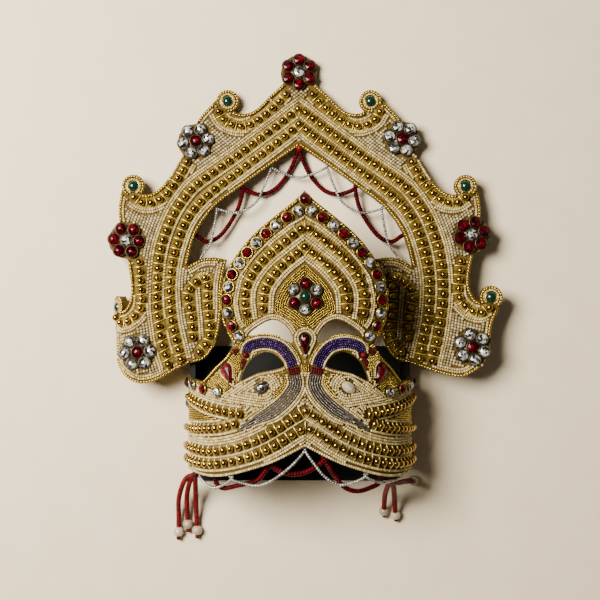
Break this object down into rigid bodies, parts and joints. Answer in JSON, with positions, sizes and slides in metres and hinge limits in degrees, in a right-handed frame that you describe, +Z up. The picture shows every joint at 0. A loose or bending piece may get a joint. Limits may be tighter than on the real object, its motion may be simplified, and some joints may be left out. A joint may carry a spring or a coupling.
{
  "type": "mukut crown",
  "caption": "Beaded ceremonial crown lying on its back: arched halo board with scrolls and jewelled rosettes, pierced front board with twin birds and a pointed crest, looped strings and pearl tassels.",
  "frame": {"origin": "middle of the back panel's underside, on the surface the crown lies on", "axes": "+Z up from that surface to the crown's front, +Y to the crown's top, +X to the right of someone who looks at its front"},
  "size_m": [0.1759, 0.2189, 0.0612],
  "materials": {
    "beadwork": "cream seed beads and gold purl sewn close on stiff board",
    "lining": "dark lining cloth",
    "gold_bead": "polished gold-coloured beads",
    "red_stone": "faceted red glass, foil backed",
    "white_stone": "faceted clear glass, foil backed",
    "green_stone": "smooth green glass, foil backed",
    "red_string": "strings of tiny red glass beads, with a pearl at each tassel end",
    "silver_string": "strings of tiny silver-lined glass beads"
  },
  "bodies": {
    "root": {"halo_board": "beadwork", "front_board": "beadwork", "back_panel": "lining", "flower_top": "red_stone", "flower_upper_left": "white_stone", "flower_upper_right": "white_stone", "flower_middle_left": "red_stone", "flower_middle_right": "red_stone", "flower_lower_left": "white_stone", "flower_lower_right": "white_stone", "scroll_stone_upper_left": "green_stone", "scroll_stone_upper_right": "green_stone", "scroll_stone_middle_left": "green_stone", "scroll_stone_middle_right": "green_stone", "scroll_stone_lower_left": "green_stone", "scroll_stone_lower_right": "green_stone", "crest_stones": "red_stone", "crest_flower": "red_stone", "centre_drop": "red_stone", "leaf_drop_left": "red_stone", "leaf_drop_right": "red_stone", "body_stone_left": "white_stone", "body_stone_right": "white_stone", "rim_stones_left": "red_stone", "rim_stones_right": "red_stone", "side_stone_left": "green_stone", "side_stone_right": "green_stone", "arch_row_outer": "gold_bead", "arch_row_inner": "gold_bead", "scallop_row_upper_left": "gold_bead", "scallop_row_upper_right": "gold_bead", "scallop_row_middle_left": "gold_bead", "scallop_row_middle_right": "gold_bead", "scallop_row_lower_left": "gold_bead", "scallop_row_lower_right": "gold_bead", "wing_row_left": "gold_bead", "wing_row_right": "gold_bead", "crest_row_outer": "gold_bead", "crest_row_inner": "gold_bead", "band_row_upper": "gold_bead", "band_row_lower": "gold_bead", "side_row_upper_left": "gold_bead", "side_row_upper_right": "gold_bead", "side_row_lower_left": "gold_bead", "side_row_lower_right": "gold_bead", "arch_swag_red": "red_string", "arch_swag_silver": "silver_string", "band_swag_red": "red_string", "band_swag_silver": "silver_string", "tassel_left": "red_string", "tassel_right": "red_string"}
  },
  "joints": []
}
